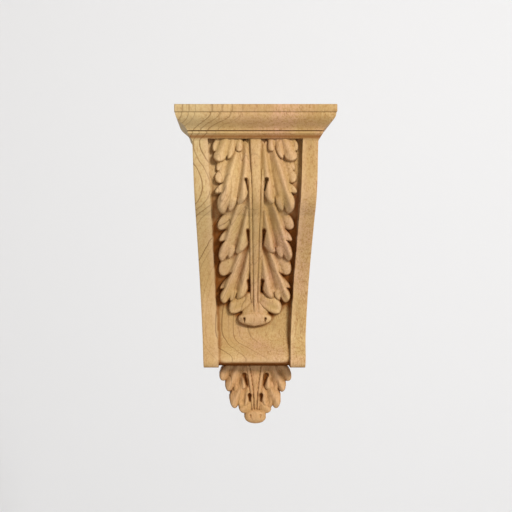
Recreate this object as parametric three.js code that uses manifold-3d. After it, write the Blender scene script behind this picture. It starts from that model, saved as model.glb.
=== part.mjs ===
// Carved wooden corbel bracket: moulded cap, S-curved body with a sunk panel of
// acanthus leaves between two rails, rounded foot and a leaf drop below it.
// Millimetres. The wall is the plane y = 0, the front faces -Y, +Z is up and the
// origin lies in the wall plane at mid-height.
import * as THREE from 'three';
import * as BufferGeometryUtils from 'three/addons/utils/BufferGeometryUtils.js';
import Module from 'manifold-3d';

const wasm = await Module();
wasm.setup();

// Overall sizes.
const height = 350;
const capWidth = 171;
const capProjection = 112;
const dropLength = 67.5;

// Cap moulding, from the top down: fascia, quirk, ogee, bead and cove.
const capOverhang = 18.3;
const fasciaHeight = 8;
const fasciaEase = 0.6;
const quirkDepth = 0.9;
const quirkHeight = 0.5;
const ogeeHeight = 18;
const ogeeFoot = 5.6;
const beadHeight = 4;
const beadOverhang = 4.6;
const beadStep = 0.4;
const beadRound = 0.8;
const coveHeight = 7;
const coveReach = 3.4;
const coveSink = 0.4;

// S-curved body: its width, its depth at four heights and where they fall.
const footWidth = 112;
const bellyDepth = 106;
const waistDepth = 38;
const footDepth = 56.5;
const bellyAt = 0.2;
const waistAt = 0.81;
const footAt = 0.974;
const footTurnback = 5.5;

// Rails and the sunk panel between them.
const railWidth = 16.6;
const panelSink = 9;
const noseSink = 4;
const noseRise = 3.5;
const noseTurn = 6;

// Leaf carving: height over its ground and length as a share of the panel.
const relief = 9.5;
const leafShare = 0.83;
const stemTopWidth = 12.2;
const stemTipWidth = 3.8;
const ribWidth = 5;

// Leaf drop: half-width at its widest, thickness of its ground and its carving.
const dropHalfWidth = 41.5;
const dropGround = 20;
const dropRelief = 7;

// How far the leaves' undersides run into their ground, how far all runs past the
// wall plane before the back is planed, and how finely faces are merged.
const rooting = 5;
const planing = 3;
const facetTolerance = 0.06;

const top = height / 2;
const footZ = -height / 2 + dropLength;
const capHeight = fasciaHeight + ogeeHeight + beadHeight + coveHeight;
const neckZ = top - capHeight;
const bodyHeight = neckZ - footZ;
const neckHalf = capWidth / 2 - capOverhang;
const neckDepth = capProjection - capOverhang;
const panelTop = neckZ + 0.4 * coveHeight;
const panelFoot = footZ + noseRise;
const leafLength = leafShare * (panelTop - panelFoot);

const ease = (t, skew) => (1 - Math.cos(Math.PI * Math.pow(t, skew))) / 2;
const mix = (a, b, t) => a + (b - a) * t;

// Half-width of the body and of the panel at a height.
function bodyHalf(z) {
  return mix(neckHalf, footWidth / 2, (neckZ - z) / bodyHeight);
}
function panelHalf(z) {
  return bodyHalf(z) - railWidth;
}

// Depth of the rails' front at a height: neck, belly, waist, foot and its turn back.
function railDepth(z) {
  const t = Math.min(1, Math.max(0, (neckZ - z) / bodyHeight));
  if (t < bellyAt) {
    return mix(neckDepth, bellyDepth, ease(t / bellyAt, 1));
  }
  if (t < waistAt) {
    return mix(bellyDepth, waistDepth, ease((t - bellyAt) / (waistAt - bellyAt), 0.73));
  }
  if (t < footAt) {
    return mix(waistDepth, footDepth, ease((t - waistAt) / (footAt - waistAt), 1.6));
  }
  const turn = (t - footAt) / (1 - footAt);
  return footDepth - footTurnback * (1 - Math.sqrt(1 - turn * turn));
}

// Depth of the panel's ground, which rolls forward into a rounded nose at the foot.
function groundDepth(z) {
  const t = Math.min(1, Math.max(0, (neckZ - z) / (neckZ - panelFoot)));
  const sink = mix(panelSink, noseSink, ease(Math.max(0, (t - 0.88) / 0.12), 0.8));
  const turn = Math.max(0, (t - 0.955) / 0.045);
  return railDepth(z) - sink - noseTurn * (1 - Math.sqrt(Math.max(0, 1 - turn * turn)));
}

// Evenly spaced heights from one level to another.
function levels(from, to, count) {
  return Array.from({ length: count + 1 }, (_, i) => mix(from, to, i / count));
}

// Closed surface through rings with equal point counts, turned to face outward.
function loft(rings) {
  const positions = rings.flat().flat();
  const n = rings[0].length;
  const index = [];
  for (let r = 0; r + 1 < rings.length; r += 1) {
    for (let i = 0; i < n; i += 1) {
      const a = r * n + i;
      const b = r * n + (i + 1) % n;
      index.push(a, b, b + n, a, b + n, a + n);
    }
  }
  const last = (rings.length - 1) * n;
  for (let i = 1; i + 1 < n; i += 1) {
    index.push(0, i + 1, i, last, last + i, last + i + 1);
  }
  const corner = (i) => new THREE.Vector3().fromArray(positions, 3 * i);
  let volume = 0;
  for (let i = 0; i < index.length; i += 3) {
    const cross = corner(index[i + 1]).cross(corner(index[i + 2]));
    volume += corner(index[i]).dot(cross);
  }
  if (volume < 0) {
    index.reverse();
  }
  const geometry = new THREE.BufferGeometry();
  geometry.setAttribute('position', new THREE.Float32BufferAttribute(positions, 3));
  geometry.setIndex(index);
  return toSolid(geometry);
}

function toSolid(geometry) {
  geometry.deleteAttribute('normal');
  geometry.deleteAttribute('uv');
  const merged = BufferGeometryUtils.mergeVertices(geometry, 1e-5);
  return new wasm.Manifold(new wasm.Mesh({
    numProp: 3,
    vertProperties: new Float32Array(merged.attributes.position.array),
    triVerts: new Uint32Array(merged.index.array),
  }));
}

// Stack of rectangles [height, half-width, back, front], both measured from the wall.
function stack(rows) {
  return loft(rows.map(([z, half, back, front]) => [
    [-half, -back, z],
    [half, -back, z],
    [half, -front, z],
    [-half, -front, z],
  ]));
}

// The body, the cap that runs round its front and sides, and the panel's sinking.
function makeBody() {
  const heights = [
    ...levels(neckZ + coveHeight, neckZ, 1),
    ...levels(neckZ, neckZ - bellyAt * bodyHeight, 6).slice(1),
    ...levels(neckZ - bellyAt * bodyHeight, neckZ - waistAt * bodyHeight, 15).slice(1),
    ...levels(neckZ - waistAt * bodyHeight, neckZ - footAt * bodyHeight, 8).slice(1),
    ...levels(neckZ - footAt * bodyHeight, footZ, 4).slice(1),
  ];
  return stack(heights.map((z) => [z, bodyHalf(z), 0, railDepth(z)]));
}

function makeCap() {
  const ogeeTop = top - fasciaHeight;
  const beadTop = ogeeTop - ogeeHeight;
  const coveTop = beadTop - beadHeight;
  const ogeeStart = capOverhang - quirkDepth;
  const profile = [
    [top, capOverhang - fasciaEase],
    [top - fasciaEase, capOverhang],
    [ogeeTop, capOverhang],
    [ogeeTop - quirkHeight, ogeeStart],
    ...levels(0, 1, 9).slice(1).map((t) => (
      [mix(ogeeTop - quirkHeight, beadTop, t), mix(ogeeStart, ogeeFoot, ease(t, 1.3))]
    )),
    [beadTop - beadStep, beadOverhang - beadRound],
    [beadTop - 0.3 * beadHeight, beadOverhang],
    [beadTop - 0.7 * beadHeight, beadOverhang],
    [coveTop, beadOverhang - beadRound],
    ...levels(0, 1, 4).map((t) => (
      [coveTop - t * coveHeight, coveReach * Math.pow(1 - t, 1.8) - coveSink * t]
    )),
  ];
  return stack(profile.map(([z, out]) => [z, neckHalf + out, 0, neckDepth + out]));
}

function makeSinking() {
  const heights = [
    ...levels(panelTop, neckZ - waistAt * bodyHeight, 24),
    ...levels(neckZ - waistAt * bodyHeight, panelFoot + 0.05 * bodyHeight, 6).slice(1),
    ...levels(panelFoot + 0.05 * bodyHeight, panelFoot, 7).slice(1),
  ];
  const rows = heights.map((z) => [z, panelHalf(z), groundDepth(z), 2 * capProjection]);
  const underNose = dropGround + dropRelief;
  const below = panelFoot - 0.01 * noseRise;
  const past = footZ - planing;
  rows.push([below, panelHalf(below), underNose, 2 * capProjection]);
  rows.push([past, panelHalf(past), underNose, 2 * capProjection]);
  return stack(rows);
}

// Places on the panel: u per cent of its half-width, v per cent of the leaf's length.
function onPanel(u, v, lift, side) {
  const z = panelTop - v / 100 * leafLength;
  const x = side * u / 100 * panelHalf(z);
  return [x, -groundDepth(z) - lift, z];
}

// Places on the drop: u per cent of its half-width, v per cent of its length.
function onDrop(u, v, lift, side) {
  const z = footZ - v / 100 * dropLength;
  const fall = dropGround * (1 - 0.3 * Math.max(0, v / 100));
  return [side * u / 100 * dropHalfWidth, -fall - lift, z];
}

// One leaf lobe: a round-ended tongue along a bent centre line from root to tip.
// Its section is crowned in the middle, and its underside is sunk in the ground.
const lobeSteps = [
  [0, 0.7, 0],
  [0.32, 0.92, 0.12],
  [0.62, 1, 0.5],
  [0.84, 0.93, 0.92],
  [0.95, 0.66, 1],
  [1, 0.28, 0.86],
];
const lobeSection = [
  [-1, 0.45],
  [-0.7, 0.85],
  [0, 1],
  [0.7, 0.85],
  [1, 0.45],
];

function makeLobe(place, lobe, side, depthUnit, unitU, unitV) {
  const [root, bend, tip] = [lobe.root, lobe.bend, lobe.tip];
  const curve = new THREE.QuadraticBezierCurve(
    new THREE.Vector2(...root),
    new THREE.Vector2(...bend),
    new THREE.Vector2(...tip),
  );
  const rings = lobeSteps.map(([t, wide, rise]) => {
    const at = curve.getPoint(t);
    const along = curve.getTangent(Math.min(t, 0.98));
    const across = new THREE.Vector2(-along.y * unitV, along.x * unitU).normalize();
    const half = lobe.wide * unitU / 2 * wide;
    const crown = depthUnit * mix(lobe.low, lobe.high, rise);
    const edge = crown - depthUnit * 0.42;
    const spot = (s, lift) => place(
      at.x + across.x * s * half / unitU,
      at.y + across.y * s * half / unitV,
      lift,
      side,
    );
    return [
      spot(-1, lobe.sunk),
      ...lobeSection.map(([s, share]) => spot(s, mix(edge, crown, (share - 0.45) / 0.55))),
      spot(1, lobe.sunk),
    ];
  });
  return loft(rings);
}

// The four tiers of the panel's leaf. Each row is root, bend, tip and width, in
// per cent; crowns rise from low at the root to high at the tip, in reliefs.
const tiers = [
  {
    low: 0.55,
    high: 0.95,
    lobes: [
      [24, -4, 28, 0, 31, 5.6, 18],
      [36, -4, 44, 3, 52, 9, 25],
      [54, -4, 66, 2, 78, 10.6, 36],
      [76, -4, 84, -1, 90, 4.4, 18],
    ],
  },
  {
    low: 0.52,
    high: 1,
    lobes: [
      [21, 4, 24, 20, 29, 33.5, 25],
      [33, 8, 43, 24, 54, 37.2, 24],
      [46, 6, 64, 20, 80, 38, 31],
      [56, 9, 70, 10, 83, 15.6, 27],
      [56, 12, 74, 14.5, 86, 21.2, 28],
      [58, 18, 76, 21, 88, 27.6, 27],
    ],
  },
  {
    low: 0.52,
    high: 1,
    lobes: [
      [19, 33, 26, 46, 36, 59.3, 29],
      [30, 38, 44, 50, 60, 61.9, 26],
      [34, 30, 62, 46, 82, 63.4, 34],
      [42, 34, 68, 38, 86, 46.3, 38],
      [52, 42, 74, 46, 86, 53, 26],
    ],
  },
  {
    low: 0.52,
    high: 0.95,
    lobes: [
      [17, 62, 26, 74, 37, 84.6, 29],
      [28, 66, 44, 76, 59, 85.8, 25],
      [30, 56, 60, 71, 84, 87, 34],
      [32, 53, 60, 59, 87, 68.6, 44],
      [50, 67, 72, 70, 87, 77.5, 28],
      [10, 80, 30, 86.5, 58, 92.2, 33],
    ],
  },
];

// Broad blades under the lobes join each tier to the stem: root, tip and width.
const blades = [
  [36, -2, 56, 32, 66],
  [32, 22, 54, 57, 64],
  [28, 48, 52, 81, 60],
];

// Eyes between the tiers, as drilled teardrops: top, foot and width.
const eyes = [
  [20.5, 19.5, 19, 26.5, 7],
  [15.5, 45.5, 17, 53.5, 7],
  [14.5, 74, 15, 79, 6.5],
];

const dropLobes = [
  [56, -8, 78, 3, 96, 21.5, 50],
  [54, 8, 74, 20, 86, 37, 34],
  [50, 18, 64, 34, 74, 51.5, 34],
  [38, 4, 48, 28, 58, 43, 27],
  [30, 2, 41, 20, 40.5, 38.4, 26],
  [34, 32, 54, 48, 65, 69, 38],
  [26, 34, 36, 52, 44.5, 70.5, 25],
  [18, 38, 26, 54, 30, 68, 20],
  [16, 54, 31, 67, 42, 79, 27],
];
const dropEyes = [
  [31, 14, 28.5, 24, 9],
  [16, 49, 14, 56, 7],
];

function lobeOf(row, low, high, sunk) {
  return {
    root: [row[0], row[1]],
    bend: [row[2], row[3]],
    tip: [row[4], row[5]],
    wide: row[6],
    low,
    high,
    sunk,
  };
}

// A rounded strip that runs straight down a carving, such as the stem or a rib.
function makeStrip(place, depthUnit, side, rows) {
  return loft(rows.map(([u, v, half, crown]) => [
    place(u - half, v, -rooting, side),
    place(u - half, v, depthUnit * crown * 0.6, side),
    place(u - half * 0.45, v, depthUnit * crown, side),
    place(u + half * 0.45, v, depthUnit * crown, side),
    place(u + half, v, depthUnit * crown * 0.6, side),
    place(u + half, v, -rooting, side),
  ]));
}

// The curled tip of a leaf: a bulb of rounded sections, wide and turned forward.
function makeBulb(place, depthUnit, middle, halfWide, halfHigh, crown, sunk) {
  return loft(levels(-0.96, 0.96, 8).map((s) => {
    const v = middle + s / 0.96 * halfHigh;
    const round = Math.sqrt(1 - s * s);
    const half = halfWide * Math.pow(round, 0.75);
    const lift = depthUnit * crown * (0.45 + 0.55 * Math.sqrt(1 - Math.pow(s * 0.9 - 0.1, 2)));
    return [
      place(-half, v, sunk, 1),
      place(-half, v, lift * 0.4, 1),
      place(-half * 0.72, v, lift * 0.86, 1),
      place(0, v, lift, 1),
      place(half * 0.72, v, lift * 0.86, 1),
      place(half, v, lift * 0.4, 1),
      place(half, v, sunk, 1),
    ];
  }));
}

// A drilled eye: a four-sided teardrop that narrows towards its foot.
function makeEye(place, depthUnit, row, side) {
  const [u0, v0, u1, v1, wide] = row;
  const steps = [[0, 0.3], [0.2, 1], [0.55, 0.8], [1, 0.15]];
  return loft(steps.map(([t, share]) => {
    const u = mix(u0, u1, t);
    const v = mix(v0, v1, t);
    const half = wide / 2 * share;
    return [
      place(u - half, v, depthUnit * 1.6, side),
      place(u + half, v, depthUnit * 1.6, side),
      place(u + half * 0.6, v, depthUnit * 0.12, side),
      place(u - half * 0.6, v, depthUnit * 0.12, side),
    ];
  }));
}

function makePanelLeaf() {
  const unitU = panelHalf(0) / 100;
  const unitV = leafLength / 100;
  const stemU = (width, z) => 50 * width / panelHalf(z);
  const stemTop = stemU(stemTopWidth, panelTop);
  const stemTip = stemU(stemTipWidth, panelTop - leafLength);
  const rib = stemU(ribWidth, 0);
  const solids = [
    makeStrip(onPanel, relief, 1, [
      [0, -4, stemTop, 1],
      [0, 20, mix(stemTop, stemTip, 0.28), 0.98],
      [0, 45, mix(stemTop, stemTip, 0.6), 0.95],
      [0, 72, mix(stemTop, stemTip, 0.88), 0.9],
      [0, 94, stemTip, 0.85],
    ]),
    makeBulb(onPanel, relief, 95, 46, 5, 1.2, -rooting),
  ];
  for (const side of [-1, 1]) {
    solids.push(makeStrip(onPanel, relief, side, [
      [stemTop + rib * 0.62, -4, rib / 2, 0.55],
      [stemTop + rib * 0.42, 20, rib / 2, 0.8],
      [mix(stemTop, stemTip, 0.6) + rib * 0.5, 45, rib / 2, 0.8],
      [mix(stemTop, stemTip, 0.88) + rib * 0.5, 72, rib / 2, 0.75],
      [stemTip + rib * 0.3, 92, rib / 3, 0.5],
    ]));
    for (const [u0, v0, u1, v1, wide] of blades) {
      const row = [u0, v0, mix(u0, u1, 0.5), mix(v0, v1, 0.5), u1, v1, wide];
      solids.push(makeLobe(onPanel, lobeOf(row, 0.42, 0.5, -rooting), side, relief, unitU, unitV));
    }
    for (const tier of tiers) {
      for (const row of tier.lobes) {
        const lobe = lobeOf(row, tier.low, tier.high, -rooting);
        solids.push(makeLobe(onPanel, lobe, side, relief, unitU, unitV));
      }
    }
  }
  return solids;
}

function makeDropLeaf() {
  const unitU = dropHalfWidth / 100;
  const unitV = dropLength / 100;
  const ground = levels(-16, 92, 9).map((v) => {
    const half = 82 * Math.sqrt(Math.max(0.02, 1 - Math.pow(Math.max(0, v) / 97, 1.7)));
    return [
      onDrop(-half, v, -dropGround - planing, 1),
      onDrop(-half, v, -dropGround * 0.45, 1),
      onDrop(-half * 0.8, v, 0, 1),
      onDrop(half * 0.8, v, 0, 1),
      onDrop(half, v, -dropGround * 0.45, 1),
      onDrop(half, v, -dropGround - planing, 1),
    ];
  });
  const solids = [
    loft(ground),
    makeStrip(onDrop, dropRelief, 1, [
      [0, -10, 18, 0.95],
      [0, 10, 13, 0.95],
      [0, 40, 5, 0.95],
      [0, 82, 2, 0.9],
    ]),
    makeBulb(onDrop, dropRelief, 87, 31, 13, 1.25, -dropGround - planing),
  ];
  for (const side of [-1, 1]) {
    solids.push(makeStrip(onDrop, dropRelief, side, [
      [26, -10, 5, 0.7],
      [19, 12, 5, 0.8],
      [9.5, 40, 4.5, 0.85],
      [6, 74, 3.5, 0.7],
    ]));
    for (const row of dropLobes) {
      const lobe = lobeOf(row, 0.35, 1, -dropGround - planing);
      solids.push(makeLobe(onDrop, lobe, side, dropRelief, unitU, unitV));
    }
  }
  return solids;
}

// One carved block: body and cap, less the panel's sinking, with both leaves grown
// on it, the eyes drilled, and everything behind the wall plane planed off.
function makeCorbel() {
  const block = makeBody().add(makeCap()).subtract(makeSinking());
  const carved = wasm.Manifold.union([block, ...makePanelLeaf(), ...makeDropLeaf()]);
  const drills = [];
  for (const side of [-1, 1]) {
    for (const row of eyes) {
      drills.push(makeEye(onPanel, relief, row, side));
    }
    for (const row of dropEyes) {
      drills.push(makeEye(onDrop, dropRelief, row, side));
    }
  }
  const room = 2 * height;
  const behind = toSolid(new THREE.BoxGeometry(room, room, room).translate(0, room / 2, 0));
  return filled(carved.subtract(wasm.Manifold.union(drills)).subtract(behind).simplify(facetTolerance));
}

// Wood fills the sealed pockets that overlapping lobes would leave inside the block.
function filled(solid) {
  const shells = solid.decompose();
  shells.sort((a, b) => b.volume() - a.volume());
  return shells[0];
}

function toMesh(solid, name, material) {
  const data = solid.getMesh();
  const geometry = new THREE.BufferGeometry();
  geometry.setAttribute('position', new THREE.BufferAttribute(data.vertProperties, 3));
  geometry.setIndex(new THREE.BufferAttribute(data.triVerts, 1));
  geometry.computeVertexNormals();
  const mesh = new THREE.Mesh(geometry, material);
  mesh.name = name;
  return mesh;
}

const wood = new THREE.MeshStandardMaterial({ color: 0xc49a66, roughness: 0.62, metalness: 0 });
wood.name = 'wood';

const part = new THREE.Group();
part.name = 'corbel';
part.add(toMesh(makeCorbel(), 'corbel_bracket', wood));

export default part;
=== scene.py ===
import math

import bpy
import numpy as np
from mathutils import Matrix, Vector
from mathutils.bvhtree import BVHTree


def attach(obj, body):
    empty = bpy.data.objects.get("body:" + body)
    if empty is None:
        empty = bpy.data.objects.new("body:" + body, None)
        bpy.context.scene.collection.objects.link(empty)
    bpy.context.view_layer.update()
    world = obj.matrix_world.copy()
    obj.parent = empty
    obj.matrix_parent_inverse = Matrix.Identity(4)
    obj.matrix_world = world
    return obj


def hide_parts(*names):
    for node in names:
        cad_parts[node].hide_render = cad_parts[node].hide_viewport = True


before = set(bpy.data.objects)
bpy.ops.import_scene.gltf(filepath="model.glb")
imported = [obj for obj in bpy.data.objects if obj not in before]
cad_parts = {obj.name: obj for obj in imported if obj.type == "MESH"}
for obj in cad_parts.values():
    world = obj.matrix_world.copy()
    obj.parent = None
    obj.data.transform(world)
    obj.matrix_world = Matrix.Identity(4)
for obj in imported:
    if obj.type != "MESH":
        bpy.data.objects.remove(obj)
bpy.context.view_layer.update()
print("frame loaded")

mm = 0.001


# camera first: level, square to the wall, a little left of the corbel; place in metres
photoView = {
    "place": (-0.028, -1.232, 0.0157), "lens": 75.2, "sensor": 36, "shift": 0.0527, "nearest": 0.05,
}


def makeCamera():
    data = bpy.data.cameras.new("photoCamera")
    data.sensor_width = photoView["sensor"]
    data.lens = photoView["lens"]
    data.shift_x = photoView["shift"]
    data.clip_start = photoView["nearest"]
    camera = bpy.data.objects.new("photoCamera", data)
    bpy.context.scene.collection.objects.link(camera)
    camera.location = photoView["place"]
    camera.rotation_euler = (math.radians(90), 0, 0)
    bpy.context.scene.camera = camera


makeCamera()
print("camera set")


def mix(a, b, t):
    return a + (b - a) * t


def ease(t, skew=1.0):
    return (1 - np.cos(np.pi * np.power(np.clip(t, 0, 1), skew))) / 2


def ramp(x, low, high):
    return np.clip((x - low) / (high - low), 0, 1)


# the block, in mm: heights from mid-height, depths from the wall; a name that ends in At is
# a share of the way down
block = {
    "top": 175.0, "capFoot": 137.6, "neck": 138.0, "foot": -107.5, "tip": -175.0,
    "neckHalf": 67.2, "footHalf": 56.0, "neckDepth": 93.7,
    "belly": 106.0, "waist": 38.0, "nose": 56.5, "turnback": 5.5,
    "bellyAt": 0.2, "waistAt": 0.81, "footAt": 0.974, "fallSkew": 0.73, "noseSkew": 1.6,
    "insideCap": 2.0, "rail": 16.6, "sink": 9.0, "noseSink": 4.0, "noseTurn": 6.0,
    "shallowAt": 0.88, "turnAt": 0.955, "arris": 0.7,
    "panelTop": 140.8, "panelFoot": -104.0, "underNose": 27.0,
}
bodyHeight = block["neck"] - block["foot"]


def bodyHalf(z):
    return mix(block["neckHalf"], block["footHalf"], (block["neck"] - z) / bodyHeight)


def panelHalf(z):
    return bodyHalf(z) - block["rail"]


def railDepth(z):
    t = np.clip((block["neck"] - z) / bodyHeight, 0, 1)
    a, b, c = block["bellyAt"], block["waistAt"], block["footAt"]
    upper = mix(block["neckDepth"], block["belly"], ease(t / a))
    fallen = np.clip((t - a) / (b - a), 0, 1)
    skew = mix(1, block["fallSkew"], ramp(fallen, 0, 0.2))
    middle = mix(block["belly"], block["waist"], ease(fallen, skew))
    lower = mix(block["waist"], block["nose"], ease((t - b) / (c - b), block["noseSkew"]))
    turn = np.clip((t - c) / (1 - c), 0, 1)
    under = block["nose"] - block["turnback"] * (1 - np.sqrt(1 - turn ** 2))
    return np.where(t < a, upper, np.where(t < b, middle, np.where(t < c, lower, under)))


def groundDepth(z):
    t = np.clip((block["neck"] - z) / (block["neck"] - block["panelFoot"]), 0, 1)
    sink = mix(block["sink"], block["noseSink"], ease(ramp(t, block["shallowAt"], 1), 0.8))
    turn = ramp(t, block["turnAt"], 1)
    return railDepth(z) - sink - block["noseTurn"] * (1 - np.sqrt(1 - turn ** 2))


# distance from each point to a drawn line, and how far along it the nearest place is
def besideLine(x, z, line):
    best = np.full(x.shape, 1e6)
    along = np.zeros(x.shape)
    for i in range(len(line) - 1):
        (ax, az), (bx, bz) = line[i], line[i + 1]
        length = (bx - ax) ** 2 + (bz - az) ** 2 + 1e-9
        t = np.clip(((x - ax) * (bx - ax) + (z - az) * (bz - az)) / length, 0, 1)
        away = np.hypot(x - ax - t * (bx - ax), z - az - t * (bz - az))
        closer = away < best
        best = np.where(closer, away, best)
        along = np.where(closer, (i + t) / (len(line) - 1), along)
    return best, along


# how far inside a closed outline each point lies, negative outside it
def insideOf(x, z, outline):
    ring = outline + [outline[0]]
    away, _ = besideLine(x, z, ring)
    inside = np.zeros(x.shape, bool)
    for (ax, az), (bx, bz) in zip(ring[:-1], ring[1:]):
        if az != bz:
            crosses = ((az > z) != (bz > z)) & (x < (bx - ax) * (z - az) / (bz - az) + ax)
            inside ^= crosses
    return np.where(inside, away, -away)


# a curve from a to c, drawn towards b
def bend(a, b, c):
    steps = 14
    a, b, c = (np.array(p, float) for p in (a, b, c))
    return [tuple((1 - t) ** 2 * a + 2 * t * (1 - t) * b + t ** 2 * c) for t in np.linspace(0, 1, steps)]


# one round lobe between two notches, drawn through its tip
def lobeArc(a, tip, b, full):
    steps = 11
    a, tip, b = (np.array(p, float) for p in (a, tip, b))
    middle = (8 * tip - a - b) / 6
    near, far = middle + (a - b) * full, middle - (a - b) * full
    points = []
    for t in np.linspace(0, 1, steps)[1:]:
        ends = (1 - t) ** 3 * a + t ** 3 * b
        swell = 3 * t * (1 - t) ** 2 * near + 3 * t * t * (1 - t) * far
        points.append(tuple(ends + swell))
    return points


# how the leaves are cut: lengths in mm; ridgeWidth, ridgeRise, ridgeRoot and eyeFoot are shares
leafCut = {
    "crown": 1.7, "crownWidth": 2.4, "edge": 0.8, "foot": 0.25, "tipFlat": 6, "pastMiddle": -4, "reach": 3,
    "ridgeWidth": 1.2, "ridgeRise": 1.02, "ridgeRoot": 0.35, "ridgeGrowth": 2.5,
    "crease": 0.85, "creaseFade": 0.8, "setIn": 0.5, "setInWidth": 0.7, "deepest": 0.4,
    "stripFoot": 0.2, "stripEdge": 1.0, "stripCrown": 0.9,
    "eyeFoot": 0.28, "eyeWall": (-0.5, 0.7), "eyeReach": 8,
    "gougeDepth": 0.1, "gougeWaves": 9, "gougeLengths": (5, 14),
}


# a tier of the leaf: a crowned blade with a scalloped edge, ridges and flutes down it,
# a crease in from each notch and a set-in cut all round
def raiseTier(field, x, z, tier, side):
    shiftX, shiftZ = tier.get("left", (0, 0)) if side < 0 else (0, 0)
    outline = list(tier["inner"])
    for tip, full, notch in tier["lobes"]:
        outline += lobeArc(outline[-1], tip, notch, full)
    outline.append(tier["end"])
    across, down = side * x - shiftX, z - shiftZ
    lowZ, highZ = min(p[1] for p in outline), max(p[1] for p in outline)
    near = (down > lowZ - leafCut["reach"]) & (down < highZ + leafCut["reach"])
    near &= across > leafCut["pastMiddle"]
    px, pz = across[near], down[near]
    reach = insideOf(px, pz, outline)
    deep = np.maximum(reach, 0)
    surface = mix(tier["low"], tier["high"], ease(ramp(-pz, -highZ, -lowZ - leafCut["tipFlat"])))
    surface = surface + leafCut["crown"] * (1 - np.exp(-deep / leafCut["crownWidth"]))
    for root, middle, tip, width, rise in tier["ridges"]:
        away, t = besideLine(px, pz, bend(root, middle, tip))
        wide = width * leafCut["ridgeWidth"]
        growing = np.minimum(1, leafCut["ridgeRoot"] + leafCut["ridgeGrowth"] * t)
        surface += rise * leafCut["ridgeRise"] * np.exp(-(away / wide) ** 2) * growing
    for start, stop, depth in tier["creases"]:
        away, t = besideLine(px, pz, [start, stop])
        wide = leafCut["crease"] * (1 + t)
        surface -= depth * (1 - t) ** leafCut["creaseFade"] * np.exp(-(away / wide) ** 2)
    rise = np.sqrt(1 - (1 - ramp(reach, -leafCut["foot"], leafCut["edge"])) ** 2)
    cut = leafCut["setIn"] * np.exp(-(np.minimum(reach, 0) / leafCut["setInWidth"]) ** 2)
    below = np.maximum(field[near] - cut, np.minimum(field[near], -leafCut["deepest"]))
    field[near] = np.where(reach > -leafCut["foot"], np.maximum(below, surface * rise), below)


# a long strip such as the stem: rows of height, half-width and crown
def raiseStrip(field, x, z, rows, side):
    zs = [r[0] for r in rows][::-1]
    middle = np.interp(z, zs, [r[1] for r in rows][::-1])
    half = np.interp(z, zs, [r[2] for r in rows][::-1])
    crown = np.interp(z, zs, [r[3] for r in rows][::-1])
    away = np.abs(x - side * middle)
    deep = half - away
    rise = np.sqrt(1 - (1 - ramp(deep, -leafCut["stripFoot"], leafCut["stripEdge"])) ** 2)
    lift = crown - leafCut["stripCrown"] * (away / half) ** 2
    live = (deep > -leafCut["stripFoot"]) & (z < zs[-1]) & (z > zs[0])
    field[:] = np.where(live, np.maximum(field, lift * rise), field)


# a drilled eye: a teardrop from a round head to a thin foot
def cutEye(field, x, z, eye, side, share=1.0):
    (x0, z0), (x1, z1), wide, floor = eye
    t = np.linspace(0, 1, 20)
    half = wide * share / 2 * mix(1, leafCut["eyeFoot"], t ** 0.5)
    lineX = side * mix(x0, x1, t)
    lineZ = mix(z0, z1, t)
    near = (z < z0 + leafCut["eyeReach"]) & (z > z1 - leafCut["eyeReach"])
    near &= np.abs(x - side * (x0 + x1) / 2) < leafCut["eyeReach"]
    deep = (half - np.hypot(x[near][:, None] - lineX, z[near][:, None] - lineZ)).max(axis=1)
    cut = ramp(deep, *leafCut["eyeWall"])
    field[near] = mix(field[near], np.minimum(field[near], floor), cut)


# the carver's hand: a slight unevenness left by the gouge, in mm
def gougeMarks(x, z, seed):
    rng = np.random.default_rng(seed)
    circle, waves = 6.28, leafCut["gougeWaves"]
    turns, lengths = rng.uniform(0, circle, waves), rng.uniform(*leafCut["gougeLengths"], waves)
    phases = rng.uniform(0, circle, waves)
    marks = np.zeros_like(x)
    for turn, length, phase in zip(turns, lengths, phases):
        along = x * math.cos(turn) + z * math.sin(turn) * 0.5
        marks += np.sin(along * circle / length + phase)
    return marks * leafCut["gougeDepth"] / 3


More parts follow.
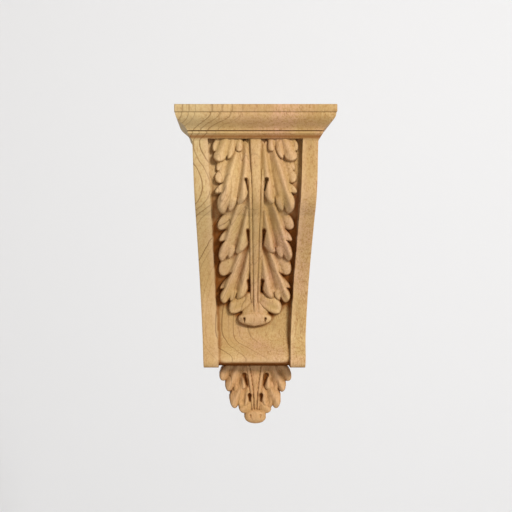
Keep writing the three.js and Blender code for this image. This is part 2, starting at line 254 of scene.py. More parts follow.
# the panel's leaf: right-hand outlines from the stem round each lobe (tip, fullness, notch),
# ridges as root, bend, tip, width, rise, and creases as notch, far end, depth; stem and rib
# rows are height, middle, half-width and crown; eyes are head, foot, width and floor
panelLeaf = {
    "tiers": [
        {
            "low": 3.2, "high": 4.8, "left": (0.4, 0.4),
            "inner": [(2.6, -24), (3.6, -34.5)],
            "lobes": [((14.2, -46.2), 0.22, (26.4, -49.0)), ((29.3, -43.0), 0.3, (27.8, -35.0))],
            "end": (27.5, -26),
            "ridges": [
                ((4, -27), (13, -35), (27, -39), 3.4, 1.3),
                ((4, -37), (13, -44), (25, -48), 2.0, 0.9),
            ],
            "creases": [],
        },
        {
            "low": 1.8, "high": 6.8, "left": (0.8, -0.9),
            "inner": [(3.0, 34), (6.2, -9), (6.5, -17.0)],
            "lobes": [
                ((14.9, -30.8), 0.58, (20.4, -25.6)),
                ((25.0, -33.2), 0.5, (28.2, -30.6)),
                ((37.9, -33.8), 0.85, (34.6, -19.6)),
                ((38.6, -17.2), 0.3, (26.4, -2.6)),
                ((38.8, -3.5), 0.3, (37.6, 12.0)),
            ],
            "end": (30, 24),
            "ridges": [
                ((5.5, 34), (9, 4), (15.0, -27), 2.9, 2.7),
                ((11, 34), (22, 4), (36.5, -31), 2.8, 3.3),
                ((7, 30), (14, 6), (21.4, -20), 2.1, -2.8),
                ((17, 22), (28, 4), (34, -17), 2.0, -1.6),
            ],
            "creases": [
                ((20.4, -25.6), (18.2, -14), 1.0), ((28.2, -30.6), (26.6, -22), 0.8),
                ((26.4, -2.6), (19, 10), 1.2),
            ],
        },
        {
            "low": 1.8, "high": 7.4, "left": (0.5, -0.4),
            "inner": [(3.8, 88), (6.8, 41), (6.9, 31.5)],
            "lobes": [
                ((16.4, 19.6), 0.58, (21.4, 24.6)),
                ((26.0, 14.9), 0.5, (30.2, 16.4)),
                ((40.2, 14.4), 0.78, (33.4, 32.6)),
                ((39.8, 33.6), 0.3, (31.8, 45.2)),
                ((41.2, 47.4), 0.35, (34.8, 60.6)),
            ],
            "end": (28, 76),
            "ridges": [
                ((7, 88), (11, 52), (16.4, 24), 3.0, 2.8),
                ((13, 88), (25, 50), (38.4, 16), 2.9, 3.4),
                ((7.6, 82), (14.6, 54), (22.2, 28), 2.2, -3.0),
                ((16, 80), (28, 60), (33.6, 34), 2.1, -1.7),
            ],
            "creases": [
                ((21.4, 24.6), (19, 36), 1.0), ((30.2, 16.4), (28.4, 25), 0.9),
                ((31.8, 45.2), (27, 56), 1.0), ((34.8, 60.6), (29, 70), 0.7),
            ],
        },
        {
            "low": 2.4, "high": 8.0, "left": (0.6, -0.3),
            "inner": [(3.6, 143), (4.4, 108), (7.8, 94), (8.0, 86)],
            "lobes": [
                ((14.4, 72.0), 0.62, (19.6, 77.6)),
                ((25.0, 64.9), 0.5, (29.4, 68.4)),
                ((39.3, 64.4), 0.8, (36.8, 82.6)),
                ((43.2, 84.4), 0.35, (35.2, 93.2)),
                ((42.8, 97.0), 0.42, (39.2, 106.3)),
                ((41.6, 109.8), 0.35, (39.4, 118.5)),
            ],
            "end": (34, 132),
            "ridges": [
                ((9.0, 143), (11.8, 108), (13.2, 76), 3.0, 2.9),
                ((17, 140), (25, 106), (37.6, 67), 3.0, 3.4),
                ((12.4, 134), (15.0, 104), (20.6, 80), 2.3, -3.1),
                ((22, 134), (32.6, 118), (35.6, 86), 2.2, -1.8),
            ],
            "creases": [
                ((19.4, 77.6), (17.6, 92), 1.0), ((29.4, 68.4), (27.2, 80), 1.0),
                ((35.2, 93.2), (30, 106), 1.1), ((39.2, 106.3), (33, 118), 0.9),
            ],
        },
        {
            "low": 5.2, "high": 9.0, "left": (1.1, -0.5),
            "inner": [(12.9, 146), (12.6, 133)],
            "lobes": [
                ((16.6, 127.0), 0.6, (20.6, 132.2)),
                ((25.6, 120.4), 0.45, (29.6, 122.8)),
                ((40.2, 116.6), 0.62, (42.4, 127.6)),
                ((45.2, 131.8), 0.5, (43.2, 138.8)),
            ],
            "end": (43, 146),
            "ridges": [
                ((27, 148), (33, 134), (39.2, 119), 3.4, 2.0),
                ((15.2, 146), (15.8, 138), (16.6, 129), 2.4, 1.0),
                ((23, 148), (24, 136), (26, 123), 2.6, 0.9),
                ((25, 146), (28.4, 136), (30, 125), 1.5, -1.0),
                ((34, 148), (39, 138), (42, 128), 1.6, -1.3),
            ],
            "creases": [((20.6, 132.2), (20.4, 142), 1.5), ((29.6, 122.8), (28.4, 129), 0.7)],
        },
    ],
    "stem": [
        [141, 0, 6.5, 8.8], [103, 0, 5.2, 9.0], [50, 0, 3.9, 8.6],
        [0, 0, 2.9, 8.0], [-44, 0, 2.2, 7.6], [-50, 0, 1.5, 7.0],
    ],
    "rib": [
        [114, 6.8, 0.6, 5.6], [104, 6.7, 1.8, 7.4], [88, 6.4, 2.2, 8.0], [50, 5.4, 2.2, 7.6],
        [0, 4.4, 2.2, 7.2], [-32, 3.9, 1.8, 6.6], [-42, 3.2, 0.4, 5.0],
    ],
    "eyes": [
        [(10.9, 96.4), (8.9, 85), 4.2, 1.4],
        [(8.9, 43.2), (7.9, 29), 3.6, 1.4],
        [(8.0, -11.8), (7.3, -21), 3.3, 1.4],
        [(10.2, 141.5), (8.8, 136.6), 4.6, 2.6],
    ],
    "leftEye": 0.82, "grooveWidth": 0.6, "grooveDepth": 0.5,
    "leanTop": 0.5, "leanFrom": 128, "leanPerMm": 0.0057,
}


# the leaf's curled tip: a slope that the collar leaves lie over, a shallow fold, a fat roll
bulb = {
    "half": 19.4, "neckHalf": 15.4, "shoulder": 2.4, "lipCurve": 0.011, "top": -32,
    "widestAt": -54.0, "rollTop": -46.2, "rollFoot": -62.0, "foot": -62.8,
    "crest": [
        (-64, 3.2), (-62, 6.8), (-59, 8.9), (-56, 9.8),
        (-52, 9.6), (-49, 8.6), (-46.4, 6.8), (-32, 4.4),
    ],
    "foldAt": -47.2, "foldDip": 0.6, "foldWidth": 0.9, "edge": 1.6, "fall": 0.4,
    "eye": [(11.9, -54.2), (11.2, -58.6), 2.4, 4.4],
}


def bulbHeight(x, z):
    below = ramp(-z, -bulb["widestAt"], -bulb["foot"])
    half = bulb["half"] * np.sqrt(np.clip(1 - below ** 2, 0.0001, 1))
    above = ramp(z, bulb["widestAt"], bulb["rollTop"])
    shoulder = bulb["half"] * np.sqrt(np.clip(1 - above ** bulb["shoulder"], 0, 1))
    half = np.where(z > bulb["widestAt"], np.maximum(shoulder, bulb["neckHalf"]), half)
    across = np.abs(x) / half
    curved = z + bulb["lipCurve"] * x ** 2 * ramp(z, bulb["rollFoot"], bulb["widestAt"])
    crest = np.interp(curved, [r[0] for r in bulb["crest"]], [r[1] for r in bulb["crest"]])
    crest = crest - bulb["foldDip"] * np.exp(-((curved - bulb["foldAt"]) / bulb["foldWidth"]) ** 2)
    edge = np.sqrt(1 - (1 - ramp((1 - across) * half, 0, bulb["edge"])) ** 2)
    live = (across < 1) & (z > bulb["foot"]) & (z < bulb["top"])
    return np.where(live, crest * (1 - bulb["fall"] * across ** 3) * edge, 0)


# height over the panel's ground
def panelHeight(x, z):
    lean = panelLeaf["leanTop"] + (panelLeaf["leanFrom"] - z) * panelLeaf["leanPerMm"]
    x = x - lean * ramp(z, -70, -40)
    field = np.where(z > bulb["widestAt"], bulbHeight(x, z), 0)
    for side in (-1, 1):
        for tier in panelLeaf["tiers"]:
            raiseTier(field, x, z, tier, side)
        raiseStrip(field, x, z, panelLeaf["rib"], side)
    # a groove on each side of the stem, then the stem itself
    rows = panelLeaf["stem"][::-1]
    stemHalf = np.interp(z, [r[0] for r in rows], [r[2] for r in rows])
    gap = np.exp(-((np.abs(x) - stemHalf - 0.2) / panelLeaf["grooveWidth"]) ** 2)
    field -= panelLeaf["grooveDepth"] * gap * ramp(z, -51, -40) * ramp(field, 3, 6)
    raiseStrip(field, x, z, panelLeaf["stem"], 1)
    for side in (-1, 1):
        for eye in panelLeaf["eyes"]:
            cutEye(field, x, z, eye, side, 1 if side > 0 else panelLeaf["leftEye"])
    field = np.where(z < -48, np.maximum(field, bulbHeight(x, z)), field)
    for side in (-1, 1):
        cutEye(field, x, z, bulb["eye"], side)
    return field + gougeMarks(x, z, 4) * ramp(field, -0.5, 3)


# the drop's leaf, drawn the same way over a rounded core, with a small roll at its foot
dropLeaf = {
    "rows": 132, "columns": 152, "top": -98, "left": -44, "right": 46, "behind": 2.0, "back": 6,
    "ground": 20.0, "thinning": 0.3, "lean": 1.8,
    "coreHalf": 31, "coreTop": -103, "coreLength": 66, "coreTaper": 1.7, "coreHeight": 1.4,
    "rollMiddle": -166.4, "rollHalf": 12.4, "rollTall": 8.2, "rollLow": 2.6, "rollCrown": 5.4,
    "rollRound": 2.2, "rollEdge": 0.14,
    "rollEye": [(5.8, -164.6), (5.4, -167.4), 1.9, 5.2],
    "tiers": [
        {
            "low": 1.8, "high": 3.2,
            "inner": [(3, -140), (4, -158)],
            "lobes": [((13.4, -162.8), 0.4, (18.2, -155.0))],
            "end": (16, -146),
            "ridges": [((4, -146), (10, -156), (16, -159), 2.4, 0.8)],
            "creases": [],
        },
        {
            "low": 1.8, "high": 3.8,
            "inner": [(4.6, -114), (5.8, -146.5)],
            "lobes": [
                ((10.8, -154.2), 0.5, (13.2, -151.6)),
                ((16.2, -155.8), 0.5, (19.4, -153.2)),
                ((26.4, -155.3), 0.4, (28.6, -141.0)),
            ],
            "end": (22, -124),
            "ridges": [
                ((8.6, -136), (9.4, -144), (10.6, -152), 2.0, 1.5),
                ((13, -120), (18, -138), (26, -152), 2.6, 2.0),
                ((10, -124), (12.4, -140), (15.0, -150), 1.6, -1.5),
            ],
            "creases": [((13.2, -151.6), (11.8, -142), 1.3), ((19.4, -153.2), (18, -145), 1.1)],
        },
        {
            "low": 2.4, "high": 4.4, "left": (-0.4, 0.3),
            "inner": [(7.4, -94), (9.4, -128)],
            "lobes": [
                ((13.8, -135.6), 0.6, (17.8, -130.4)),
                ((22.2, -137.8), 0.5, (25.6, -133.6)),
                ((32.2, -137.2), 0.4, (34.2, -125.4)),
                ((40.9, -119.6), 0.45, (33.2, -107)),
            ],
            "end": (33, -94),
            "ridges": [
                ((14, -121), (14.6, -127), (13.8, -133), 2.0, 1.6),
                ((17, -94), (22, -116), (31, -134), 2.8, 2.2),
                ((24, -94), (32, -106), (39, -119), 3.4, 1.6),
                ((12.6, -100), (17.4, -118), (19.4, -130), 1.7, -1.9),
                ((20, -98), (27, -112), (32.5, -124), 1.7, -1.2),
            ],
            "creases": [
                ((17.8, -130.4), (17.4, -119), 1.5), ((25.6, -133.6), (23.4, -122), 1.1),
                ((34.2, -125.4), (25, -108), 1.2),
            ],
        },
    ],
    "stem": [
        [-96, 0, 7.8, 5.4], [-107.5, 0, 6.6, 5.8], [-121, 0, 4.6, 6.0],
        [-140, 0, 2.4, 5.8], [-160, 0, 1.2, 5.2],
    ],
    "rib": [
        [-96, 9.8, 2.2, 5.2], [-107.5, 8.6, 2.2, 5.8], [-121, 6.5, 2.1, 6.2],
        [-136, 4.6, 1.9, 6.2], [-151, 3.5, 1.6, 5.4], [-160, 2.6, 1.2, 4.4],
    ],
    "eyes": [
        [(12.6, -118.6), (9.6, -131), 4.8, 0.6],
        [(6.6, -141.8), (6.2, -149), 4.0, 0.6],
    ],
}


# height over the drop's ground
def dropHeight(x, z):
    x = x - dropLeaf["lean"]
    down = np.maximum(dropLeaf["coreTop"] - z, 0) / dropLeaf["coreLength"]
    core = dropLeaf["coreHalf"] * np.sqrt(np.clip(1 - down ** dropLeaf["coreTaper"], 0, 1))
    field = dropLeaf["coreHeight"] * ramp(core - np.abs(x), -0.3, 1.0)
    for side in (-1, 1):
        for tier in dropLeaf["tiers"]:
            raiseTier(field, x, z, tier, side)
        raiseStrip(field, x, z, dropLeaf["rib"], side)
    raiseStrip(field, x, z, dropLeaf["stem"], 1)
    for side in (-1, 1):
        for eye in dropLeaf["eyes"]:
            cutEye(field, x, z, eye, side)
    up = np.abs(z - dropLeaf["rollMiddle"]) / dropLeaf["rollTall"]
    out = np.abs(x) / dropLeaf["rollHalf"]
    inside = 1 - out ** dropLeaf["rollRound"] - up ** dropLeaf["rollRound"]
    roll = dropLeaf["rollLow"] + dropLeaf["rollCrown"] * np.sqrt(np.clip(inside, 0, 1))
    roll = np.where(inside > 0, roll, 0)
    field = np.maximum(field, roll * np.sqrt(1 - (1 - ramp(inside, 0, dropLeaf["rollEdge"])) ** 2))
    for side in (-1, 1):
        cutEye(field, x, z, dropLeaf["rollEye"], side)
    return np.where(field > 0.3, field + gougeMarks(x, z, 9), field)


# a mesh from points in mm
def meshFrom(name, points, faces):
    mesh = bpy.data.meshes.new(name)
    mesh.from_pydata((points * mm).tolist(), [], faces)
    mesh.update()
    made = bpy.data.objects.new(name, mesh)
    bpy.context.scene.collection.objects.link(made)
    return made


# closed skin through loops of equal length, one loop for each height
def skin(name, loops):
    rows, cols, _ = loops.shape
    index = np.arange(rows * cols).reshape(rows, cols)
    turned = np.roll(index, -1, axis=1)
    quads = np.stack([index[:-1], index[1:], turned[1:], turned[:-1]], axis=-1).reshape(-1, 4)
    faces = quads.tolist()
    faces.append(index[0].tolist())
    faces.append(index[-1][::-1].tolist())
    return meshFrom(name, loops.reshape(-1, 3), faces)


# how fine the body's mesh is: rows by height in mm, points across the panel and across a rail
bodyRows = {
    "from": 150, "step": 0.62, "edge": 0.05, "columns": 176,
    "railSteps": (0.0, 0.04, 0.12, 0.35, 0.65, 0.94, 1.0), "arrisFade": 25, "sideShares": (0.33, 0.66),
}


# body: each loop goes round the back, the sides, the rails and across the carving
def makeBody():
    zs = np.arange(bodyRows["from"], block["foot"], -bodyRows["step"])
    edges = [block["capFoot"], block["foot"]]
    for z in (block["panelTop"], block["panelFoot"]):
        edges += [z, z - bodyRows["edge"]]
    zs = np.sort(np.concatenate([zs, edges]))[::-1]
    across = np.linspace(-1, 1, bodyRows["columns"])
    railSteps = np.array(bodyRows["railSteps"])
    half, panel = bodyHalf(zs), panelHalf(zs)
    rail, ground = railDepth(zs), groundDepth(zs)
    sunk = (zs < block["panelTop"]) & (zs >= block["panelFoot"])
    hollow = zs < block["panelFoot"]
    x = across[None, :] * panel[:, None]
    z = np.repeat(zs[:, None], len(across), axis=1)
    front = ground[:, None] + panelHeight(x, z)
    front = np.where(sunk[:, None], front, rail[:, None])
    front = np.where(hollow[:, None], block["underNose"], front)
    eased = block["arris"] * np.exp(-railSteps * bodyRows["arrisFade"])
    left = -half[:, None] + railSteps[None, :] * block["rail"]
    railFront = rail[:, None] - eased[None, :]
    loops = []
    for i in range(len(zs)):
        right = -left[i][::-1]
        xs = np.concatenate([[half[i]], [-half[i]] * 3, left[i], x[i], right, [half[i]] * 2])
        back = block["insideCap"] if zs[i] > block["capFoot"] else 0
        sides = (rail[i] - block["arris"]) * np.array(bodyRows["sideShares"])
        ds = [[back, back], sides, railFront[i], front[i], railFront[i][::-1], sides[::-1]]
        loops.append(np.stack([xs, -np.concatenate(ds), np.full(len(xs), zs[i])], axis=1))
    return skin("carvedBlock", np.array(loops))


# cap: its moulding from the top down, in mm; the two edges of the fascia are given as how far
# down and how far out
cap = {
    "overhang": 18.3, "fascia": 8.0, "quirk": 0.9, "lap": 0.5, "ogee": 18.0, "ogeeSkew": 1.3,
    "ogeeFoot": 5.6, "bead": 4.0, "beadOut": 4.8, "beadRound": 1.2, "beadFull": 0.6, "beadCut": 1.6,
    "cove": 7.4, "coveOut": 3.9, "coveSkew": 1.15, "coveIn": 0.4,
    "topEdge": [(0, -0.6), (0.18, -0.2), (0.6, 0)],
    "footEdge": [(-0.3, 0), (0, -0.3), (0.2, -1.4), (0.7, -1.2)],
}


# rectangles stacked down the moulding; a row is a height and how far it stands out of the neck
def makeCap():
    ogeeTop = block["top"] - cap["fascia"]
    beadTop = ogeeTop - cap["ogee"]
    coveTop = beadTop - cap["bead"]
    rows = [(block["top"] - down, cap["overhang"] + out) for down, out in cap["topEdge"]]
    rows += [(ogeeTop - down, cap["overhang"] + out) for down, out in cap["footEdge"]]
    start = cap["overhang"] - cap["quirk"]
    for t in np.linspace(0, 1, 30)[1:]:
        out = mix(start, cap["ogeeFoot"], ease(t, cap["ogeeSkew"]))
        rows.append((mix(ogeeTop - cap["lap"], beadTop, t), out))
    rows.append((beadTop - 0.3, cap["beadOut"] - cap["beadCut"]))
    for t in np.linspace(0, 1, 10):
        swell = math.sin(math.pi * t) ** cap["beadFull"]
        out = cap["beadOut"] - cap["beadRound"] + cap["beadRound"] * swell
        rows.append((mix(beadTop - cap["lap"], coveTop, t), out))
    rows.append((coveTop, cap["coveOut"]))
    for t in np.linspace(0, 1, 10)[1:]:
        out = cap["coveOut"] * (1 - t) ** cap["coveSkew"] - cap["coveIn"] * t
        rows.append((coveTop - t * cap["cove"], out))
    loops = []
    for z, out in rows:
        half, deep = block["neckHalf"] + out, block["neckDepth"] + out
        loops.append([(half, 0, z), (-half, 0, z), (-half, -deep, z), (half, -deep, z)])
    return skin("capMoulding", np.array(loops))


# the part of the cap's cove that the panel's sinking takes away
def makeSinking():
    loops = []
    foot, past = 130.0, 150
    for z in (block["panelTop"], foot):
        half = float(panelHalf(z))
        back = float(groundDepth(z))
        loops.append([(half, -back, z), (-half, -back, z), (-half, -past, z), (half, -past, z)])
    return skin("sinking", np.array(loops))


# drop: starts inside the block and stops a hair above the tip; what lies behind the wall
# plane is cut away afterwards
def makeDrop():
    zs = np.linspace(dropLeaf["top"], block["tip"] + 0.02, dropLeaf["rows"])
    xs = np.linspace(dropLeaf["left"], dropLeaf["right"], dropLeaf["columns"])
    x, z = np.meshgrid(xs, zs)
    carved = dropHeight(x, z)
    fall = dropLeaf["ground"] * (1 - dropLeaf["thinning"] * ramp(-z, -block["foot"], -block["tip"]))
    deep = mix(-dropLeaf["behind"], fall + carved, ramp(carved, 0, 0.4) ** 0.5)
    deep[0] = fall[0] + 1
    loops = []
    for i in range(len(zs)):
        xsRow = np.concatenate([[xs[-1], xs[0]], xs])
        ds = np.concatenate([[-dropLeaf["back"]] * 2, deep[i]])
        loops.append(np.stack([xsRow, -ds, np.full(len(xsRow), zs[i])], axis=1))
    return skin("leafDrop", np.array(loops))


# join or cut one piece with another, which is used up
def combine(target, other, operation):
    step = target.modifiers.new(operation.lower(), "BOOLEAN")
    step.operation = operation
    step.solver = "MANIFOLD"
    step.object = other
    bpy.context.view_layer.update()
    graph = bpy.context.evaluated_depsgraph_get()
    result = bpy.data.meshes.new_from_object(target.evaluated_get(graph))
    target.modifiers.clear()
    old = target.data
    target.data = result
    bpy.data.meshes.remove(old)
    bpy.data.objects.remove(other)


# all the space in front of the wall plane
def makeSpace():
    room = 300
    loops = [[(room, 0, z), (-room, 0, z), (-room, -room, z), (room, -room, z)] for z in (room, -room)]
    return skin("spaceInFront", np.array(loops))


body = makeBody()
print("body", len(body.data.polygons))
capPiece = makeCap()
combine(capPiece, makeSinking(), "DIFFERENCE")
print("cap", len(capPiece.data.polygons))
drop = makeDrop()
combine(drop, makeSpace(), "INTERSECT")
print("drop", len(drop.data.polygons))
combine(body, capPiece, "UNION")
combine(body, drop, "UNION")
body.data.name = "carvedBlock"
print("block carved", len(body.data.polygons))


# the front seen as a map of depths, in mm from the wall
def depthMap(piece, xs, zs):
    tree = BVHTree.FromObject(piece, bpy.context.evaluated_depsgraph_get())
    depths = np.zeros((len(zs), len(xs)))
    for row, z in enumerate(zs):
        for col, x in enumerate(xs):
            hit = tree.ray_cast(Vector((x * mm, -0.2, z * mm)), Vector((0, 1, 0)))[0]
            if hit is not None:
                depths[row, col] = -hit.y / mm
    return depths


def shifted(grid, rows, cols):
    return np.roll(np.roll(grid, rows, axis=0), cols, axis=1)


# mean of the cells round each one, counting only those on the piece
def averaged(grid, onPiece, steps):
    total, count = np.zeros_like(grid), np.zeros_like(grid)
    for i in steps:
        for j in steps:
            total += shifted(np.where(onPiece, grid, 0), i, j)
            count += shifted(onPiece, i, j)
    return total / np.maximum(count, 1)


# how painted shade is laid into the recesses, in mm; reaches are in cells, and the painted
# shade bands are height, spread and amount
paintedShadeLook = {
    "cell": 0.8, "turns": 12, "reaches": (1, 2, 3, 5, 8, 12), "offPiece": -40,
    "valley": 0.04, "valleyDepth": 3, "crestHeight": 2, "frontFrom": (2, 6),
    "capShare": 0.3, "capFrom": (138, 141.5), "topShare": 0.3, "topFrom": (40, 115),
    "paintedShadeBands": [(142.6, 3.2, 0.39), (148.6, 0.7, 0.36), (-107.6, 1.2, 0.4)],
}


# paintedShade: painted shade, darker the more a place is closed in by what stands round it;
# wearAndHighlight: how far it stands out, painted paler as part wear and part highlight
def markPaintedLight(piece):
    step, turns = paintedShadeLook["cell"], paintedShadeLook["turns"]
    xs, zs = np.arange(-90, 90.1, step), np.arange(-180, 180.1, step)
    depths = depthMap(piece, xs, zs)
    lean = np.where(zs < block["foot"], dropLeaf["ground"], railDepth(zs))
    relief = np.where(depths > 0, depths - lean[:, None], paintedShadeLook["offPiece"])
    hidden = np.zeros_like(relief)
    for turn in np.linspace(0, 2 * math.pi, turns, endpoint=False):
        horizon = np.zeros_like(relief)
        for reach in paintedShadeLook["reaches"]:
            down, along = round(math.sin(turn) * reach), round(math.cos(turn) * reach)
            away = step * max(1, math.hypot(down, along))
            horizon = np.maximum(horizon, (shifted(relief, down, along) - relief) / away)
        hidden += horizon ** 2 / (1 + horizon ** 2) / turns
    blurred = averaged(relief, depths > 0, (-6, -4, -2, 0, 2, 4, 6))
    valley = np.clip((blurred - relief) / paintedShadeLook["valleyDepth"], 0, 1)
    hidden = hidden + paintedShadeLook["valley"] * valley
    hidden = averaged(hidden, depths > 0, (-2, -1, 0, 1, 2))
    share = mix(1, paintedShadeLook["capShare"], ramp(zs, *paintedShadeLook["capFrom"]))
    share = share * mix(1, paintedShadeLook["topShare"], ramp(zs, *paintedShadeLook["topFrom"]))
    hidden = hidden * share[:, None]
    # crests that stand out of the blurred relief get a paler tone, part wear and part painted highlight
    crest = np.clip((relief - blurred) / paintedShadeLook["crestHeight"], 0, 1)
    wearAndHighlight = averaged(crest, depths > 0, (-1, 0, 1))
    mesh = piece.data
    places = np.empty(len(mesh.vertices) * 3)
    mesh.vertices.foreach_get("co", places)
    places = places.reshape(-1, 3) / mm
    cols = np.clip((places[:, 0] - xs[0]) / step, 0, len(xs) - 1.001)
    rows = np.clip((places[:, 2] - zs[0]) / step, 0, len(zs) - 1.001)
    i, j = rows.astype(int), cols.astype(int)
    u, v = rows - i, cols - j
    front = ramp(-places[:, 1], *paintedShadeLook["frontFrom"])
    # painted shade bands: cast shade in the cove under the bead, a shade line under the ogee, and the
    # shade under the block's foot
    paintedShadeBands = 0
    for z, wide, amount in paintedShadeLook["paintedShadeBands"]:
        paintedShadeBands = paintedShadeBands + amount * np.exp(-((places[:, 2] - z) / wide) ** 2)
    for name, grid in (("paintedShade", hidden), ("wearAndHighlight", wearAndHighlight)):
        value = mix(mix(grid[i, j], grid[i, j + 1], v), mix(grid[i + 1, j], grid[i + 1, j + 1], v), u)
        if name == "paintedShade":
            value = np.maximum(value, paintedShadeBands)
        mesh.attributes.new(name, "FLOAT", "POINT").data.foreach_set("value", value * front)


# pale hardwood: growth rings about an upright axis behind the right half, fine upright
# fibres, small pores, painted shade down in the carving, and crests painted paler for wear
# and highlight; sizes in metres
woodLook = {
    "ringAxis": (0.030, 0.026), "ringSpacing": 0.0048, "ringWave": 0.017,
    "ringRise": (0.76, 0.94), "ringFall": (1.0, 0.97), "ringGrowth": (0.18, 0.9, (0, 1.25)),
    "light": (0.508, 0.352, 0.152, 1), "middle": (0.358, 0.205, 0.071, 1),
    "late": (0.150, 0.074, 0.020, 1), "rosy": (0.530, 0.300, 0.185, 1),
    # deep is also the painted shade tone in the recesses, edge the paler tone painted on crests for wear
    # and highlight
    "deep": (0.190, 0.060, 0.010, 1), "edge": (0.640, 0.430, 0.260, 1),
    "warm": (0.480, 0.235, 0.092, 1), "sap": (0.520, 0.400, 0.200, 1),
    # noise scale, detail, how it is drawn out upright, roughness, and its place
    "grain": {
        "wave": (22, 3, 0.09, 0.45, (-0.030, -0.026, 0)),
        "fibre": (820, 3, 0.035, 0.6, (0, 0, 0)),
        "speck": (620, 2, 0.22, 0.7, (0, 0, 0)),
        "broad": (16, 3, 0.4, 0.55, (0, 0, 0)),
        "flush": (34, 2, 0.5, 0.5, (0.9, 0.4, 0.2)),
        "mottle": (480, 3, 0.6, 0.75, (0.7, 0.2, 0.4)),
    },
    # the part of each value that counts, from none to all
    "counts": {
        "broad": (0.35, 0.7), "flush": (0.40, 0.70), "fibre": (0.4, 0.75),
        "mottle": (0.46, 0.62), "speck": (0.56, 0.74), "wearAndHighlight": (0.05, 0.7),
    },
    # shares that change across the block or up it: axis, start, stop, and the share at each
    "fades": {
        "rings": ("X", -0.055, 0.015, (1, 0.16)),
        "flush": ("X", -0.07, 0.06, (0.25, 0.95)),
        "sapAcross": ("X", -0.03, -0.062, (0, 1)),
        "sapUp": ("Z", 0, 0.13, (0, 0.75)),
        "warm": ("Z", -0.104, -0.110, (0, 0.6)),
        "mottle": ("X", -0.07, 0.06, (0.4, 1.0)),
        "pores": ("X", -0.04, 0.05, (0.40, 0.72)),
    },
    "fibreShare": 0.35, "wearAndHighlightShare": 0.22, "paintedShade": (0.19, 0.45, 0.98),
    "rough": (0.3, 0.7, (0.52, 0.64)), "ringPolish": -0.08, "shine": (0.14, 0.02),
    "fibreRelief": 0.6, "poreRelief": 0.5, "ringRelief": 0.5, "bump": 0.42, "bumpDepth": 0.0006,
}


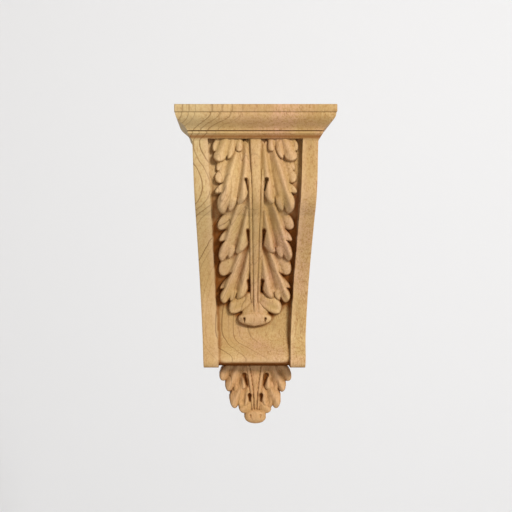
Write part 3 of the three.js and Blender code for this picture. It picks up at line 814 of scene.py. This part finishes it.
def makeWood():
    material = bpy.data.materials.new("wood")
    material.use_nodes = True
    nodes, links = material.node_tree.nodes, material.node_tree.links
    surface = nodes["Principled BSDF"]

    def node(kind, **sockets):
        made = nodes.new("ShaderNode" + kind)
        for name, value in sockets.items():
            made.inputs[name].default_value = value
        return made

    def maths(operation, first, second, clamp=False):
        made = nodes.new("ShaderNodeMath")
        made.operation = operation
        made.use_clamp = clamp
        for socket, value in zip(made.inputs, (first, second)):
            if isinstance(value, (int, float)):
                socket.default_value = value
            else:
                links.new(value, socket)
        return made.outputs[0]

    def stretched(scale, place=(0, 0, 0)):
        made = nodes.new("ShaderNodeMapping")
        made.inputs["Scale"].default_value = scale
        made.inputs["Location"].default_value = place
        links.new(nodes["Texture Coordinate"].outputs["Object"], made.inputs["Vector"])
        return made.outputs[0]

    def noise(layer):
        scale, detail, drawn, roughness, place = woodLook["grain"][layer]
        made = node("TexNoise", Scale=scale, Detail=detail, Roughness=roughness)
        links.new(stretched((1, 1, drawn), place), made.inputs["Vector"])
        return made.outputs[0]

    def spread(value, low, high, out=(0, 1)):
        made = nodes.new("ShaderNodeMapRange")
        made.inputs["From Min"].default_value = low
        made.inputs["From Max"].default_value = high
        made.inputs["To Min"].default_value = out[0]
        made.inputs["To Max"].default_value = out[1]
        links.new(value, made.inputs["Value"])
        return made.outputs[0]

    def counted(value, layer):
        return spread(value, *woodLook["counts"][layer])

    def fade(share):
        axis, start, stop, shares = woodLook["fades"][share]
        return spread(apart.outputs[axis], start, stop, shares)

    def blend(amount, first, second):
        made = nodes.new("ShaderNodeMix")
        made.data_type = "RGBA"
        links.new(amount, made.inputs[0])
        for place, value in ((6, first), (7, second)):
            if isinstance(value, tuple):
                made.inputs[place].default_value = value
            else:
                links.new(value, made.inputs[place])
        return made.outputs[2]

    def attribute(name):
        made = nodes.new("ShaderNodeAttribute")
        made.attribute_name = name
        return made.outputs["Fac"]

    nodes.new("ShaderNodeTexCoord").name = "Texture Coordinate"
    apart = nodes.new("ShaderNodeSeparateXYZ")
    links.new(nodes["Texture Coordinate"].outputs["Object"], apart.inputs[0])
    # growth rings: how far out a place is, bent by a slow wave
    axisX, axisY = woodLook["ringAxis"]
    length = nodes.new("ShaderNodeVectorMath")
    length.operation = "LENGTH"
    links.new(stretched((1, 1, 0), (-axisX, -axisY, 0)), length.inputs[0])
    wave = maths("MULTIPLY", maths("SUBTRACT", noise("wave"), 0.5), woodLook["ringWave"])
    rings = maths("DIVIDE", maths("ADD", length.outputs["Value"], wave), woodLook["ringSpacing"])
    across = maths("FRACT", rings, 0)
    line = maths("MULTIPLY", spread(across, *woodLook["ringRise"]), spread(across, *woodLook["ringFall"]))
    # some rings show and others hardly do
    growth = nodes.new("ShaderNodeTexWhiteNoise")
    growth.noise_dimensions = "1D"
    links.new(maths("FLOOR", rings, 0), growth.inputs["W"])
    line = maths("MULTIPLY", line, spread(growth.outputs["Value"], *woodLook["ringGrowth"]))
    line = maths("MULTIPLY", line, fade("rings"), True)
    # broad changes of tone
    colour = blend(counted(noise("broad"), "broad"), woodLook["light"], woodLook["middle"])
    flush = maths("MULTIPLY", counted(noise("flush"), "flush"), fade("flush"))
    colour = blend(flush, colour, woodLook["rosy"])
    colour = blend(maths("MULTIPLY", fade("sapAcross"), fade("sapUp")), colour, woodLook["sap"])
    colour = blend(fade("warm"), colour, woodLook["warm"])
    # fibres, mottle, ring lines and pores
    fibre = noise("fibre")
    fibres = maths("MULTIPLY", counted(fibre, "fibre"), woodLook["fibreShare"])
    colour = blend(fibres, colour, woodLook["middle"])
    mottle = maths("MULTIPLY", counted(noise("mottle"), "mottle"), fade("mottle"))
    colour = blend(mottle, colour, woodLook["middle"])
    colour = blend(line, colour, woodLook["late"])
    pores = counted(noise("speck"), "speck")
    colour = blend(maths("MULTIPLY", pores, fade("pores")), colour, woodLook["deep"])
    # paler crests, part wear and part painted highlight, then painted shade in the recesses
    wearAndHighlight = maths("MULTIPLY", counted(attribute("wearAndHighlight"), "wearAndHighlight"), woodLook["wearAndHighlightShare"])
    colour = blend(wearAndHighlight, colour, woodLook["edge"])
    least, most, share = woodLook["paintedShade"]
    closed = spread(attribute("paintedShade"), least, most, (0, share))
    colour = blend(closed, colour, woodLook["deep"])
    links.new(colour, surface.inputs["Base Color"])
    polish = maths("MULTIPLY", line, woodLook["ringPolish"])
    links.new(maths("ADD", spread(fibre, *woodLook["rough"]), polish), surface.inputs["Roughness"])
    fibreHeight = maths("MULTIPLY", fibre, woodLook["fibreRelief"])
    poreDepth = maths("MULTIPLY", pores, woodLook["poreRelief"])
    ringDepth = maths("MULTIPLY", line, woodLook["ringRelief"])
    height = maths("SUBTRACT", maths("SUBTRACT", fibreHeight, poreDepth), ringDepth)
    bump = node("Bump", Strength=woodLook["bump"], Distance=woodLook["bumpDepth"])
    links.new(height, bump.inputs["Height"])
    links.new(bump.outputs["Normal"], surface.inputs["Normal"])
    links.new(spread(closed, 0, 1, woodLook["shine"]), surface.inputs["Specular IOR Level"])
    return material


body.data.materials.clear()
body.data.materials.append(makeWood())
for face in body.data.polygons:
    face.use_smooth = True
body.data.set_sharp_from_angle(angle=math.radians(50))
markPaintedLight(body)
body.data.calc_loop_triangles()
print("finish laid on", len(body.data.loop_triangles), "triangles")

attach(body, "root")
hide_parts("corbel_bracket")


# stage and lights, in metres: a lamp is its place, size and power
studio = {
    "paint": (0.765, 0.765, 0.772, 1), "paintRoughness": 0.9,
    "side": 4, "back": 1.6, "foot": -1.2, "top": 3,
    "windowLight": ((1.7, -3.0, 1.5), 0.9, 146), "fillLight": ((-2.0, -1.6, 2.0), 1.6, 7),
    "room": (1, 0.972, 0.93, 1), "roomStrength": 0.475,
}


def makeStage():
    paint = bpy.data.materials.new("palePaint")
    paint.use_nodes = True
    surface = paint.node_tree.nodes["Principled BSDF"]
    surface.inputs["Base Color"].default_value = studio["paint"]
    surface.inputs["Roughness"].default_value = studio["paintRoughness"]
    side, back, foot, top = studio["side"], studio["back"], studio["foot"], studio["top"]
    sheets = {
        "paleBackdrop": [(-side, back, foot), (side, back, foot), (side, back, top), (-side, back, top)],
        "paleFloor": [(-side, back, foot), (-side, -side, foot), (side, -side, foot), (side, back, foot)],
    }
    for name, corners in sheets.items():
        mesh = bpy.data.meshes.new(name)
        mesh.from_pydata(corners, [], [(0, 1, 2, 3)])
        mesh.materials.append(paint)
        sheet = bpy.data.objects.new(name, mesh)
        bpy.context.scene.collection.objects.link(sheet)


# a round lamp that points at the middle of the block
def makeLight(name):
    place, size, power = studio[name]
    data = bpy.data.lights.new(name, "AREA")
    data.shape = "DISK"
    data.size = size
    data.energy = power
    lamp = bpy.data.objects.new(name, data)
    bpy.context.scene.collection.objects.link(lamp)
    lamp.location = place
    lamp.rotation_euler = Vector(-np.array(place)).to_track_quat("-Z", "Y").to_euler()


def makeWorld():
    world = bpy.data.worlds.new("softRoom")
    world.use_nodes = True
    world.node_tree.nodes["Background"].inputs["Color"].default_value = studio["room"]
    world.node_tree.nodes["Background"].inputs["Strength"].default_value = studio["roomStrength"]
    bpy.context.scene.world = world


makeStage()
makeLight("windowLight")
makeLight("fillLight")
makeWorld()
bpy.context.scene.view_settings.view_transform = "Standard"
print("stage and lights set")
